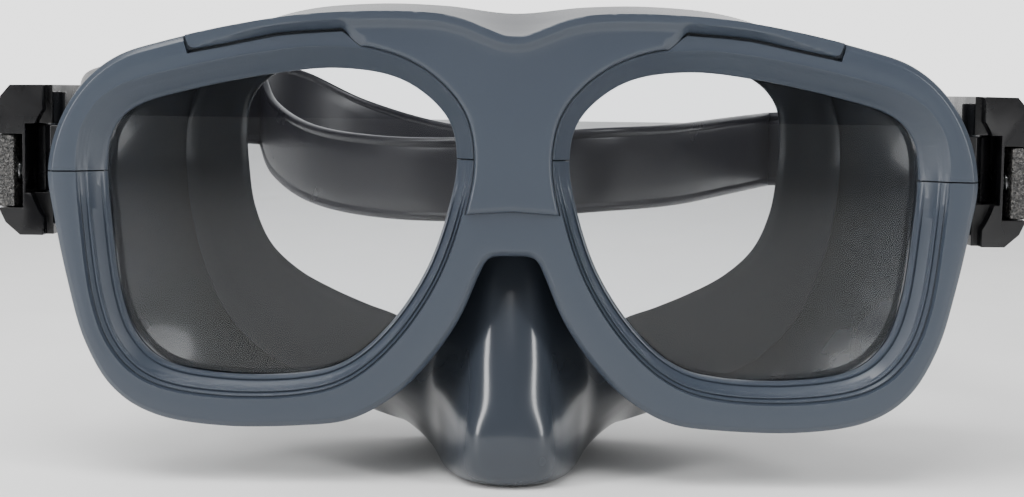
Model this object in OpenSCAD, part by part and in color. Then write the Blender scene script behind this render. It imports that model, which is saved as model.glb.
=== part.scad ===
// Twin-lens diving mask with a split head strap and swivelling push-button buckles.
// Millimetres. X is to the wearer's left-right, -Y is the way the lenses look, +Z is up.
// The origin is on the flat under the nose pocket that the mask stands on, on the middle plane.

/* [Lenses] */
// Width of one lens opening
lens_w = 62.7; // [50:0.5:76]
// Height of one lens opening
lens_h = 55.4; // [45:0.5:67]
// Clear distance between the two lens openings
lens_gap = 20.2; // [17:0.2:25]
// Thickness of the tempered glass
lens_t = 3.2; // [2.5:0.1:4]
// How far the glass reaches past the opening all round
lens_seat = 2.4; // [1.8:0.1:3]

/* [Frame] */
// Rim width beside the opening, to the outer edge
rim_side = 10; // [8:0.5:14]
// Rim height above and below the opening
rim_top = 9.5; // [8:0.5:12]
// Depth of the frame from front to back
frame_d = 9.5; // [8:0.5:12]
// Depth of the sloped inner bevel
bevel_d = 4.5; // [3:0.1:5]
// Width of the bevel on the nose side
bevel_nose = 2.8; // [2:0.1:4]
// Width of the bevel on the temple side
bevel_temple = 4.8; // [3:0.1:6]
// How far the brow cover stands proud of the rim
cover_proud = 1.6; // [1:0.1:2.5]
// How deep the brow cover is let into the frame
cover_sunk = 1.2; // [0.8:0.1:2]
// Height of the parting line on the temple side, above the middle of the lens
part_temple = 8.8; // [4:0.2:14]
// Height of the parting line on the nose side, above the middle of the lens
part_nose = 11.8; // [6:0.2:16]

/* [Skirt] */
// Height of the lower edge of the lens opening above the ground
lens_up = 19.5; // [17:0.5:25]
// Width over the face seal
seal_w = 139; // [125:1:160]
// Height over the face seal
seal_h = 88.4; // [84:0.2:100]
// Depth from the rim to the middle of the face seal
seal_d = 50; // [44:1:60]
// Wall of the skirt
skirt_wall = 2.2; // [1.8:0.1:3]
// Thickness of the sealing lip
lip_t = 1.8; // [1.4:0.1:2.4]
// Wall of the collar round each lens
collar_wall = 1.4; // [1.2:0.1:2]
// Length of the collar behind the glass
collar_back = 8.3; // [5:0.5:11]

/* [Nose pocket] */
// Half width of the nose pocket where it joins the skirt
nose_base = 15; // [13:0.5:18]
// Half width of its rounded front
nose_front = 8.8; // [7:0.2:11]
// How far its tip stands in front of the rim
nose_out = 3.3; // [1:0.1:6]
// Wall of the nose pocket
nose_wall = 1.9; // [1.5:0.1:2.5]

/* [Buckles] */
// Distance of the swivel pin from the edge of the frame
swivel_out = 2; // [1.8:0.1:4]
// Distance of the swivel pin behind the face of the rim
swivel_back = 12; // [11.8:0.1:15]
// Height of the middle of the buckle above the ground
buckle_up = 58; // [54:0.5:62]
// Length of the buckle behind the swivel pin
buckle_l = 26; // [24:0.5:34]
// Radius of the swivel pin
swivel_r = 1.5; // [1.2:0.1:1.8]
// Radius of the steel roller that the strap turns round
roller_r = 1.5; // [1.2:0.1:1.8]
// Radius of the pin of the locking pawl
pawl_pin_r = 0.75; // [0.6:0.05:1]
// Height of the release button
button_h = 12.8; // [10:0.2:14]
// Travel of the release button
button_travel = 0.7; // [0.5:0.1:0.9]

/* [Strap] */
// Width of the strap and of each of its two bands
strap_w = 19; // [16:0.5:20]
// Thickness of the strap
strap_t = 2; // [1.6:0.1:2.2]
// How far back the rear band reaches
strap_back = 184; // [160:1:210]

/* [Fits] */
// Gap between pieces that are clamped together
seat_gap = 0.1; // [0.05:0.01:0.2]
// Gap between pieces that move past each other
move_gap = 0.3; // [0.2:0.05:0.5]
// Radial clearance of a pin in its bore
pin_gap = 0.05; // [0.02:0.01:0.1]

/* [Hidden] */

slate = [0.34, 0.38, 0.44];
dark_rubber = [0.18, 0.18, 0.2];
black = [0.07, 0.07, 0.08];
steel = [0.72, 0.73, 0.75];
glass = [0.85, 0.92, 0.95, 0.3];

span = 4;                  // steps between two chosen points of an outline
far = 300;                 // past the edge of everything
stand_y = 12;              // the origin's distance behind the face of the rim
eps = 0.01;

lens_x = lens_gap / 2 + lens_w / 2;
lens_z = lens_up + lens_h / 2;
rim_a = lens_w / 2 + rim_side;
rim_b = lens_h / 2 + rim_top;
rim_z = lens_z + 0.5;
frame_half = lens_x + rim_a;

// depths, from the face of the rim backwards
groove_y = bevel_d + 0.3;                       // front of the skirt's collar
glass_y = groove_y + 0.8;                       // front of the glass
collar_y = glass_y + lens_t + collar_back;      // back of the collar
web_y = frame_d + move_gap;                     // front of the skirt's web

collar_in = 0.6;                                // collar bore, past the opening
collar_out = lens_seat + collar_wall;           // collar outside, past the opening

// ---------- curves ----------

function spline(a, b, c, d, t) =
    0.5 * (2 * b + (c - a) * t + (2 * a - 5 * b + 4 * c - d) * t * t
           + (3 * b - a - 3 * c + d) * t * t * t);

// a smooth closed line through the points p, with n steps between two of them
function closed_line(p, n) =
    let (m = len(p))
    [for (i = [0:m - 1], k = [0:n - 1])
        spline(p[(i + m - 1) % m], p[i], p[(i + 1) % m], p[(i + 2) % m], k / n)];

// a smooth open line through the points p
function open_line(p, n) =
    let (m = len(p))
    [for (i = [0:m - 2], k = [0:n - 1])
        spline(p[max(i - 1, 0)], p[i], p[i + 1], p[min(i + 2, m - 1)], k / n),
     p[m - 1]];

// the unit vector that points out of a closed line that runs clockwise
function outward(c, i) =
    let (m = len(c), d = c[(i + 1) % m] - c[(i + m - 1) % m])
    [-d[1], d[0]] / norm(d);

function grow(c, by) = [for (i = [0:len(c) - 1]) c[i] + by * outward(c, i)];

function flip_x(p) = [for (q = p) concat([-q[0]], [for (k = [1:len(q) - 1]) q[k]])];

// a half outline from the top middle to the bottom middle, closed by its mirror image
function both_halves(p) =
    let (m = len(p), left = flip_x(p), from = abs(p[0][0]) < eps ? 1 : 0)
    concat(p, [for (i = [m - 2:-1:from]) left[i]]);

// ---------- outlines of the rim ----------

// the lens opening, as shares of its half width (nose side is -1) and half height
opening_shape = [
    [-1, 0.43], [-0.93, 0.71], [-0.68, 0.93], [-0.33, 1], [0.07, 0.955], [0.53, 0.85],
    [0.83, 0.74], [0.965, 0.58], [1, 0.36], [0.98, 0], [0.93, -0.46], [0.835, -0.755],
    [0.65, -0.93], [0.3, -1], [-0.11, -0.99], [-0.38, -0.9], [-0.62, -0.66],
    [-0.825, -0.31], [-0.95, 0.08]];

opening = closed_line([for (p = opening_shape)
    [lens_x + p[0] * lens_w / 2, lens_z + p[1] * lens_h / 2]], span);

// the line where the flat face turns into the bevel, wider towards the temple
ridge = [for (i = [0:len(opening) - 1])
    let (out = outward(opening, i))
    opening[i] + out * (bevel_nose + (bevel_temple - bevel_nose) * (1 + out[0]) / 2)];

function rim_point(u, v) = [lens_x + u * rim_a, rim_z + v * rim_b];

// the outer edge of the rim from the dip between the brows to the nose cut-out
rim_shape = [
    [-0.9, 0.921], [-0.79, 0.965], [-0.64, 0.995], [-0.4, 1], [-0.09, 0.978],
    [0.21, 0.925], [0.5, 0.85], [0.7, 0.773], [0.85, 0.64], [0.955, 0.45], [1, 0.228],
    [0.976, 0.01], [0.92, -0.3], [0.85, -0.585], [0.73, -0.817], [0.54, -0.95],
    [0.255, -1], [-0.083, -0.995], [-0.31, -0.96], [-0.505, -0.84], [-0.655, -0.67],
    [-0.775, -0.47], [-0.855, -0.265]];
cut_top = rim_z - 0.159 * rim_b;                // top of the nose cut-out
dip_z = rim_z + 0.89 * rim_b;                   // the dip between the brows
rim_half = concat([[0, dip_z]], [for (p = rim_shape) rim_point(p[0], p[1])],
                  [[4.6, cut_top - 1], [3, cut_top - 0.1], [0, cut_top]]);
rim_line = both_halves(open_line(rim_half, 3));

module both_eyes() {
    children();
    mirror([1, 0, 0]) children();
}

// a flat shape drawn in X and Z, given the depths of its front and its back
module slab(front, back) {
    translate([0, back, 0]) rotate([90, 0, 0]) linear_extrude(back - front) children();
}

// skin of a loft: rings of the same length, a flat or fanned cap on each end
module loft(rings, from_middle = false) {
    n = len(rings[0]);
    m = len(rings);
    points = [for (r = rings) each r];
    first = [for (i = [0:n - 1]) i];
    last = [for (i = [n - 1:-1:0]) (m - 1) * n + i];
    sides = [for (j = [0:m - 2], i = [0:n - 1])
        let (a = j * n + i, b = j * n + (i + 1) % n)
        each [[a, a + n, b + n], [a, b + n, b]]];
    middle = len(points);
    fan = [for (i = [0:n - 1])
        [(m - 1) * n + (i + 1) % n, (m - 1) * n + i, middle]];
    if (from_middle)
        polyhedron(concat(points, [centre_of(rings[m - 1])]), concat([first], sides, fan));
    else
        polyhedron(points, concat([first], sides, [last]));
}

function centre_of(ring) = [for (k = [0:2]) let (v = [for (p = ring) p[k]]) (max(v) + min(v)) / 2];

// ---------- frame ----------

module bevel_cut() {
    loft([[for (p = grow(ridge, 0.1)) [p[0], -0.1, p[1]]],
          [for (p = opening) [p[0], bevel_d, p[1]]]]);
}

module frame_blank() {
    difference() {
        slab(0, frame_d) polygon(rim_line);
        both_eyes() {
            bevel_cut();
            slab(bevel_d - eps, frame_d + 1) polygon(opening);
            slab(groove_y, frame_d + 1) polygon(grow(opening, collar_out + seat_gap));
            bracket_pocket();
        }
    }
}

// the brow cover in front view: two wings, and a tongue down between the lenses
cover_edge = [
    [0.41, 2], [0.405, 0.81], [0.39, 0.79], [0.23, 0.825], [0.016, 0.876], [-0.09, 0.89],
    [-0.272, 0.903], [-0.36, 0.81], [-0.36, 0], [-0.792, 0.027], [-0.862, 0.046]];

module cover_shape(by = 0) {
    difference() {
        intersection() {
            polygon(rim_line);
            both_eyes() offset(delta = by)
                polygon(concat([[-eps, far], rim_point(0.41, 3)],
                               [for (p = cover_edge) rim_point(p[0], p[1])],
                               [[-eps, rim_z + 0.055 * rim_b]]));
        }
        both_eyes() polygon(grow(ridge, -by));
    }
}

module brow_cover() {
    color(slate) slab(-cover_proud, cover_sunk - seat_gap) cover_shape();
}

module above_parting(up) {
    near = lens_z + part_nose + up;
    out = lens_z + part_temple + up;
    polygon([[-far, out], [-lens_x, out], [-lens_x, near], [lens_x, near], [lens_x, out],
             [far, out], [far, far], [-far, far]]);
}

module cover_recess() {
    slab(-1, cover_sunk) cover_shape(seat_gap);
}

module upper_frame() {
    color(slate) difference() {
        intersection() {
            frame_blank();
            slab(-1, frame_d + 1) above_parting(seat_gap / 2);
        }
        cover_recess();
    }
}

module lower_frame() {
    color(slate) difference() {
        frame_blank();
        slab(-1, frame_d + 1) above_parting(-seat_gap / 2);
        cover_recess();
    }
}

module right_lens() {
    color(glass) slab(glass_y, glass_y + lens_t) polygon(grow(opening, lens_seat - seat_gap));
}

module left_lens() {
    mirror([1, 0, 0]) right_lens();
}

// ---------- skirt ----------

// the front of the skirt, behind the rim, from the top middle round to the nose
web_half = [
    [0, dip_z - 4.4], rim_point(-0.71, 0.86), rim_point(-0.37, 0.87), rim_point(-0.035, 0.84),
    rim_point(0.3, 0.775), rim_point(0.62, 0.68), rim_point(0.79, 0.52), rim_point(0.874, 0.25),
    rim_point(0.86, -0.02), rim_point(0.81, -0.315), rim_point(0.727, -0.624),
    rim_point(0.52, -0.825), rim_point(0.207, -0.871), rim_point(-0.13, -0.866),
    rim_point(-0.42, -0.73), rim_point(-0.69, -0.395), [0, cut_top + 3.2]];

// the face seal: shares of its half width and height, and its depth past the middle depth
seal_half = [
    [0, 0.98, -7], [0.2, 0.996, -7], [0.4, 1, -6], [0.605, 0.986, -4], [0.78, 0.944, 0],
    [0.915, 0.865, 5], [0.983, 0.763, 9.5], [1, 0.645, 11.5], [0.978, 0.51, 10],
    [0.93, 0.385, 7], [0.85, 0.27, 4], [0.735, 0.178, 2], [0.59, 0.113, 1],
    [0.445, 0.073, 0.5], [0.33, 0.038, 0], [0.19, 0.007, 0], [0, 0, -0.5]];

// the inner edge of the sealing lip, in the same way
lip_half = [
    [0, 0.865, -5], [0.187, 0.877, -5], [0.388, 0.882, -4], [0.56, 0.874, -2.5],
    [0.698, 0.837, 0], [0.77, 0.78, 2.5], [0.788, 0.707, 4.5], [0.786, 0.628, 5],
    [0.767, 0.532, 4.5], [0.717, 0.447, 3], [0.633, 0.387, 1.5], [0.532, 0.344, 0.5],
    [0.424, 0.309, -0.5], [0.33, 0.283, -2], [0.266, 0.226, -3], [0.2, 0.11, -3.5],
    [0, 0.085, -3.5]];

function seal_point(p) = [p[0] * seal_w / 2, seal_d + p[2], p[1] * seal_h];
function ring_3d(half) = closed_line(both_halves(half), 2);
function flat_of(ring) = [for (p = ring) [p[0], p[2]]];
function at_depth(flat, y) = [for (i = [0:len(flat) - 1]) [flat[i][0], y[i], flat[i][1]]];
function inset(ring, by, back) =
    at_depth(grow(flat_of(ring), -by), [for (p = ring) p[1] + back]);

web_ring = ring_3d([for (p = web_half) [p[0], web_y, p[1]]]);
seal_ring = ring_3d([for (p = seal_half) seal_point(p)]);
lip_ring = ring_3d([for (p = lip_half) seal_point(p)]);
waist = 0.5;                                    // share of the way back to the waist
waist_ring = inset([for (i = [0:len(web_ring) - 1])
    web_ring[i] * (1 - waist) + seal_ring[i] * waist], 0.8, 0);

module skirt_outside() {
    loft([web_ring, waist_ring, seal_ring, lip_ring], true);
}

module skirt_inside() {
    loft([inset(web_ring, skirt_wall, skirt_wall), inset(waist_ring, skirt_wall, 0),
          inset(seal_ring, skirt_wall * 1.2, -lip_t * 1.3), inset(lip_ring, -0.4, -lip_t),
          at_depth(grow(flat_of(lip_ring), 0.4), [for (p = lip_ring) far / 3])]);
}

// the nose pocket, level by level: height as a share of the nose cut-out's height, half width
// of its front and of its base as shares of the largest, depth of its front in front of the
// rim as a share of the furthest, and depth of its back as a share of the seal's depth
pocket_levels = [
    [0, 0.57, 0.6, -1.1, 0.87], [0.028, 0.77, 0.77, -0.2, 0.87], [0.07, 0.89, 0.88, 0.5, 0.89],
    [0.14, 0.98, 0.96, 0.97, 0.9], [0.235, 1, 1, 1, 0.9], [0.37, 0.95, 0.98, 0.65, 0.8],
    [0.54, 0.82, 0.88, -0.1, 0.66], [0.73, 0.62, 0.67, -1.2, 0.52], [0.9, 0.45, 0.47, -2.3, 0.4],
    [1.02, 0.3, 0.3, -3.2, 0.31]];

function pocket_ring(level, wall, deeper) =
    let (z = level[0] * cut_top, half_front = level[1] * nose_front - wall,
         half_base = level[2] * nose_base - wall, front = -level[3] * nose_out + wall,
         back = level[4] * seal_d + deeper,
         side = [[half_base, back], [half_base * 0.99, back * 0.6 + front * 0.4],
                 [half_base * 0.55 + half_front * 0.45, back * 0.25 + front * 0.75],
                 [half_front * 0.93, front + 2], [half_front * 0.55, front + 0.4], [0, front]],
         ring = both_halves(open_line(side, 3)), n = len(ring))
    [for (i = [n - 1:-1:0]) [ring[i][0], ring[i][1], z]];

module nose_outside() {
    loft([for (level = pocket_levels) pocket_ring(level, 0, 0)]);
}

module nose_inside() {
    n = len(pocket_levels);
    floor_up = nose_wall / cut_top;
    loft([for (i = [0:n - 2])
        let (level = pocket_levels[i],
             raised = i < 4 ? level[0] * 0.6 + floor_up : level[0])
        pocket_ring([raised, level[1], level[2], level[3], level[4]], nose_wall,
                    i < 4 ? -0.5 : 4)]);
}

module collars(by_out) {
    both_eyes() slab(groove_y, collar_y) polygon(grow(opening, by_out));
}

module skirt() {
    color(dark_rubber) difference() {
        union() {
            skirt_outside();
            nose_outside();
            collars(collar_out);
        }
        difference() {
            skirt_inside();
            collars(collar_out);
        }
        nose_inside();
        both_eyes() {
            slab(groove_y - 1, collar_y + 1) polygon(grow(opening, collar_in));
            slab(glass_y, glass_y + lens_t) polygon(grow(opening, lens_seat));
        }
    }
}

// ---------- buckles: drawn for the right side, round the swivel pin ----------

swivel_x = frame_half + swivel_out;
housing_front = -6;                             // front of the buckle, from the swivel pin
flare = 3.1;                                    // how much further out the rear stands
flare_y = 14;                                   // where it gets there
barrel_r = swivel_r + 1.2;
barrel_half = 6;                                // half length of the bracket's barrel
lug_half = 12;                                  // half length of the swivel pin
roller_x = 4.1;
roller_y = 13;
cavity_half = strap_w / 2 + 0.7;
cover_x = 8.3;                                  // inner face of the buckle's cover
button_y = 7;                                   // back of the button's recess
button_x = 4.1;                                 // inner wall of the button's recess
button_z = -2.3;                                // middle of the button
pawl_x = 9.4;
pawl_y = 9.5;
pawl_half = 3.4;
cut_r = buckle_l + 8.2;                         // where the strap parts from the buckle
pass_in = roller_x - roller_r - pin_gap - strap_t;   // inner face of the strap's inner pass

module at_right() {
    translate([swivel_x, swivel_back, buckle_up]) children();
}

module at_left() {
    mirror([1, 0, 0]) at_right() children();
}

module pocket_plan(gap = 0) {
    offset(delta = gap) polygon([[-6, -6.8], [-1.4, -6.8], [-0.7, -4.2], [0.5, -2.5],
                                 [-2.5, -1], [-2.2, -3.9], [-6, -3.9]]);
}

module bracket_pocket() {
    at_right() translate([0, 0, -barrel_half - seat_gap])
        linear_extrude(2 * (barrel_half + seat_gap)) pocket_plan(seat_gap);
}

module buckle_bracket() {
    color(black) translate([0, 0, -barrel_half]) difference() {
        linear_extrude(2 * barrel_half) union() {
            pocket_plan();
            circle(barrel_r, $fn = 48);
        }
        translate([0, 0, -1]) cylinder(r = swivel_r + pin_gap, h = 2 * barrel_half + 2, $fn = 48);
    }
}

module swivel_pin() {
    color(steel) translate([0, 0, -lug_half]) cylinder(r = swivel_r, h = 2 * lug_half, $fn = 48);
}

// the buckle in front view, with cut corners; the rear stands further out
module buckle_end(out, front, back) {
    slab(front, back) polygon([
        [-1, -13.9], [4.4, -13.9], [7 + out, -11.6], [8.3 + out, -8.8], [9.3 + out, 2],
        [9.2 + out, 6.5], [7.7 + out, 11.2], [6, 13.2], [-1, 13.3]]);
}

module buckle_block() {
    hull() {
        buckle_end(0, housing_front, 0);
        buckle_end(flare, flare_y, buckle_l);
    }
}

module button_space(gap) {
    translate([button_x - gap, housing_front - 1, button_z - button_h / 2 - gap])
        cube([20, button_y - housing_front + 1 + gap, button_h + 2 * gap]);
}

module lugs() {
    for (side = [-1, 1])
        translate([0, 0, side * (lug_half + barrel_half) / 2 + side * move_gap / 2])
            cylinder(r = barrel_r, h = lug_half - barrel_half - move_gap, center = true, $fn = 48);
}

module buckle_housing() {
    color(black) difference() {
        union() {
            intersection() {
                buckle_block();
                union() {
                    translate([-far, -far, -far]) cube([far + cover_x - seat_gap, 2 * far, 2 * far]);
                    translate([-far, -far, -far]) cube([2 * far, far + button_y, 2 * far]);
                }
            }
            lugs();
        }
        // room for the bracket's barrel
        translate([-far, -far, -barrel_half - move_gap])
            cube([far + button_x - 0.8, far + 6, 2 * (barrel_half + move_gap)]);
        // the front is hollowed so that it clears the rim
        translate([-far, -far, -far]) cube([far + 0.2, far - 3.2, 2 * far]);
        translate([-14.9, -3.2, -1]) rotate([90, 0, 0]) cylinder(r = 18, h = 10, $fn = 96);
        // button, pawl, strap and pins
        button_space(move_gap);
        pawl_room();
        translate([pass_in - move_gap, roller_y - 4.2, -cavity_half])
            cube([cover_x - pass_in + move_gap + 1, far, 2 * cavity_half]);
        translate([0, 0, -lug_half]) cylinder(r = swivel_r + pin_gap, h = 2 * lug_half, $fn = 48);
        translate([roller_x, roller_y, -cavity_half - 1.2])
            cylinder(r = roller_r + pin_gap, h = 2 * cavity_half + 2.4, $fn = 48);
    }
}

// deeper at the rear, where the pawl's tooth swings out
module pawl_room() {
    room_half = pawl_half + move_gap;
    translate([0, 0, -room_half]) linear_extrude(2 * room_half)
        polygon([[cover_x - 1, button_y - 1], [pawl_x + 0.3, button_y - 1],
                 [pawl_x + 0.3, button_y - 0.05], [pawl_x + 1.4, pawl_y - 1.1],
                 [pawl_x + 1.4, pawl_y - 0.5], [pawl_x + 2, pawl_y + 4],
                 [pawl_x + 2, button_y + 13], [cover_x - 1, button_y + 13]]);
}

module buckle_cover() {
    color(black) difference() {
        intersection() {
            buckle_block();
            translate([cover_x, button_y + seat_gap, -far]) cube([far, far, 2 * far]);
        }
        pawl_room();
        translate([pawl_x, pawl_y, -5.2]) cylinder(r = pawl_pin_r + pin_gap, h = 10.4, $fn = 32);
    }
}

module release_button() {
    color(black) difference() {
        intersection() {
            buckle_block();
            translate([button_x + button_travel + 0.5, housing_front - 1, button_z - button_h / 2])
                cube([20, button_y - housing_front + 1 - move_gap, button_h]);
        }
        // the pawl's front arm lies in this notch
        translate([-1, button_y - 4.2, -pawl_half - move_gap])
            cube([cover_x + 2.3, 10, 2 * (pawl_half + move_gap)]);
        // the spring's seat
        translate([0, -1, button_z]) rotate([0, 90, 0]) cylinder(r = 2.4, h = 7.6, $fn = 48);
    }
}

// a coil spring between the housing and the button, of round wire
coil_r = 1.8;
wire_r = 0.3;
coil_turns = 4;
coil_steps = 14;

module button_spring() {
    from = button_x - move_gap + wire_r + 0.05;
    to = 7.6 - wire_r - 0.05;
    n = coil_turns * coil_steps;
    rings = [for (i = [0:n])
        let (a = 360 * i / coil_steps, x = from + (to - from) * i / n)
        [for (b = [0:60:300])
            let (r = coil_r + wire_r * cos(b))
            [x + wire_r * sin(b), -1 + r * cos(a), button_z + r * sin(a)]]];
    color(steel) loft(rings);
}

module lock_pawl() {
    color(steel) difference() {
        translate([0, 0, -pawl_half]) linear_extrude(2 * pawl_half) polygon([
            [8, 4.3], [9.5, 4.3], [9.1, 7], [10.5, 8.5], [10.1, 17.2], [9.2, 17.2],
            [7.75, 16.4], [7.75, 15.4], [8.9, 14.2], [8.3, 9.5]]);
        translate([pawl_x, pawl_y, -5]) cylinder(r = pawl_pin_r + pin_gap, h = 10, $fn = 32);
    }
}

module pawl_pin() {
    color(steel) translate([pawl_x, pawl_y, -5.2]) cylinder(r = pawl_pin_r, h = 10.4, $fn = 32);
}

module strap_roller() {
    color(steel) translate([roller_x, roller_y, -cavity_half - 1.1])
        cylinder(r = roller_r, h = 2 * cavity_half + 2.2, $fn = 48);
}

tooth_pitch = 2;
tooth_up = 0.35;

module strap_end() {
    turn_r = roller_r + pin_gap + strap_t;
    tail = buckle_l + 6;
    color(dark_rubber) translate([0, 0, -strap_w / 2]) linear_extrude(strap_w) union() {
        // round the roller
        difference() {
            translate([roller_x, roller_y]) circle(turn_r, $fn = 64);
            translate([roller_x, roller_y]) circle(roller_r + pin_gap, $fn = 48);
            translate([-far, roller_y]) square([2 * far, far]);
        }
        // the inner pass goes back to the strap
        intersection() {
            translate([pass_in, roller_y - eps]) square([strap_t, far]);
            circle(cut_r - move_gap, $fn = 128);
        }
        // the outer pass is the adjusting tail, with teeth for the pawl
        translate([roller_x + roller_r + pin_gap, roller_y - eps])
            square([strap_t - tooth_up, tail - roller_y]);
        for (y = [roller_y + 1:tooth_pitch:tail - 1.5])
            translate([roller_x + roller_r + pin_gap, y]) square([strap_t, tooth_pitch / 2]);
    }
}

// ---------- strap ----------

side_x = swivel_x + pass_in + strap_t / 2;      // where the strap leaves the buckle
side_y = swivel_back + cut_r - 2;
back = strap_back;

// middle lines of the strap, chosen by hand: across, back, up
right_side = [
    [side_x, side_y, buckle_up], [side_x + 2, side_y + 12, buckle_up],
    [side_x + 3.5, side_y + 32, buckle_up], [side_x - 1, back - 84, buckle_up],
    [side_x - 8, back - 58, buckle_up], [73, back - 40, 57.5], [66, back - 33, 57]];
left_side = [
    [-side_x, side_y, buckle_up], [-side_x - 3, side_y + 12, buckle_up + 2.5],
    [-side_x - 5.5, side_y + 30, buckle_up + 7], [-side_x - 2, back - 86, buckle_up + 9],
    [-side_x + 7, back - 60, buckle_up + 8.5], [-72, back - 42, 66.5], [-65, back - 36, 66]];
near_band = [
    [-65, back - 36, 66], [-60, back - 48, 58.5], [-48, back - 68, 53], [-30, back - 86, 51],
    [-8, back - 96, 51.3], [16, back - 97, 53.5], [36, back - 84, 54.5], [53, back - 58, 56],
    [66, back - 33, 57]];
rear_band = [
    [-65, back - 36, 66], [-65, back - 24, 68], [-56, back - 12, 66], [-40, back - 4, 58.5],
    [-18, back - 1, 52.5], [8, back, 50], [32, back - 4, 50], [52, back - 12, 52.5],
    [66, back - 22, 56], [66, back - 33, 57]];

// a flat band of the strap's width and thickness, standing on edge along a middle line
function band_ring(line, i, thick) =
    let (m = len(line), d = line[min(i + 1, m - 1)] - line[max(i - 1, 0)],
         flat = [d[0], d[1], 0], side = [-d[1], d[0], 0] / norm(flat) * thick / 2,
         up = [0, 0, strap_w / 2])
    [line[i] - side - up, line[i] + side - up, line[i] + side + up, line[i] - side + up];

module band(points, thick = strap_t) {
    line = open_line(points, 4);
    loft([for (i = [0:len(line) - 1]) band_ring(line, i, thick)]);
}

module strap() {
    color(dark_rubber) difference() {
        union() {
            band(right_side);
            band(left_side);
            band(near_band, strap_t * 0.95);
            band(rear_band, strap_t * 0.9);
        }
        both_eyes() at_right() cylinder(r = cut_r, h = far, center = true, $fn = 128);
    }
}

// ---------- the assembly ----------

// the pieces are drawn from the face of the rim backwards; the origin is under the nose pocket
module stand() {
    translate([0, -stand_y, 0]) children();
}

stand() skirt();
stand() left_lens();
stand() right_lens();
stand() lower_frame();
stand() upper_frame();
stand() brow_cover();
stand() at_left() buckle_bracket();  // left_buckle_bracket
stand() at_right() buckle_bracket();  // right_buckle_bracket
stand() at_left() swivel_pin();  // left_swivel_pin
stand() at_right() swivel_pin();  // right_swivel_pin
stand() at_left() buckle_housing();  // left_buckle_housing
stand() at_right() buckle_housing();  // right_buckle_housing
stand() at_left() buckle_cover();  // left_buckle_cover
stand() at_right() buckle_cover();  // right_buckle_cover
stand() at_left() release_button();  // left_release_button
stand() at_right() release_button();  // right_release_button
stand() at_left() button_spring();  // left_button_spring
stand() at_right() button_spring();  // right_button_spring
stand() at_left() lock_pawl();  // left_lock_pawl
stand() at_right() lock_pawl();  // right_lock_pawl
stand() at_left() pawl_pin();  // left_pawl_pin
stand() at_right() pawl_pin();  // right_pawl_pin
stand() at_left() strap_roller();  // left_strap_roller
stand() at_right() strap_roller();  // right_strap_roller
stand() at_left() strap_end();  // left_strap_end
stand() at_right() strap_end();  // right_strap_end
stand() strap();
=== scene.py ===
"""Twin-lens diving mask: rim and brow cover, silicone skirt, push-button buckles, split strap."""

import math

import bmesh
import bpy
import numpy as np
from mathutils import Matrix, Vector


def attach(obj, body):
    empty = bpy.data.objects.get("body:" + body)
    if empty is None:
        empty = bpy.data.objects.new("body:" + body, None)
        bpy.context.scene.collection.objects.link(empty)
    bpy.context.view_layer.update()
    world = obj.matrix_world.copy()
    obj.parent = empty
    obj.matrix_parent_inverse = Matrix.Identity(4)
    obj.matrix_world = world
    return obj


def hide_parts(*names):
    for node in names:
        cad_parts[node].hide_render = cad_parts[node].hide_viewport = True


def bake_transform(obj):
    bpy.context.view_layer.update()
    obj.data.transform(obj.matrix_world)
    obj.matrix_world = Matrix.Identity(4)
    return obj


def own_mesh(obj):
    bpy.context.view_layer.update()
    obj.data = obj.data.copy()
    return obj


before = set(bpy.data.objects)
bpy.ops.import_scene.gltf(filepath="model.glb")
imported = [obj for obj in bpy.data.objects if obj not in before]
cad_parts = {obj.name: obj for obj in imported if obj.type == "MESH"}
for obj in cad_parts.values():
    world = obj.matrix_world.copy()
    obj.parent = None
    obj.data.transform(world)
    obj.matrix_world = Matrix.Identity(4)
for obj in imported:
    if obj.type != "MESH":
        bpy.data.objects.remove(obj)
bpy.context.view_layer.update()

# ---------- camera, table and lights ----------
# The mask stands on its nose pocket on a pale table, seen from low down, straight in front.
# A large soft box hangs over it, a tall narrow one stands on each side, and the room is pale.

CAMERA_AT = (0, -0.332, 0.0713)
CAMERA_TILT, CAMERA_ROLL = 85, 0.75              # degrees
ROOM_FRONT, ROOM_BEHIND = 0.16, 2.4              # brightness of the room
TABLE_HALF = 4                                   # metres

camera_data = bpy.data.cameras.new("camera")
camera_data.sensor_width = 36
camera_data.lens = 63.47
camera_data.clip_start = 0.02
camera_data.clip_end = 20
camera = bpy.data.objects.new("camera", camera_data)
bpy.context.scene.collection.objects.link(camera)
camera.matrix_world = (Matrix.Translation(CAMERA_AT)
                       @ Matrix.Rotation(math.radians(CAMERA_TILT), 4, "X")
                       @ Matrix.Rotation(math.radians(CAMERA_ROLL), 4, "Z"))
bpy.context.scene.camera = camera


def new_material(name):
    """A new node material: gives the material, its nodes, its links and its Principled shader."""
    material = bpy.data.materials.new(name)
    material.use_nodes = True
    nodes, links = material.node_tree.nodes, material.node_tree.links
    return material, nodes, links, nodes["Principled BSDF"]


def noise_at(nodes, links, scale, detail=4.0, stretch=(1, 1, 1)):
    """Noise in the object's own coordinates, stretched along the axes: gives its value socket."""
    place = nodes.new("ShaderNodeTexCoord")
    mapping = nodes.new("ShaderNodeMapping")
    mapping.inputs["Scale"].default_value = stretch
    noise = nodes.new("ShaderNodeTexNoise")
    noise.inputs["Scale"].default_value = scale
    noise.inputs["Detail"].default_value = detail
    links.new(place.outputs["Object"], mapping.inputs["Vector"])
    links.new(mapping.outputs["Vector"], noise.inputs["Vector"])
    return noise.outputs["Fac"]


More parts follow.
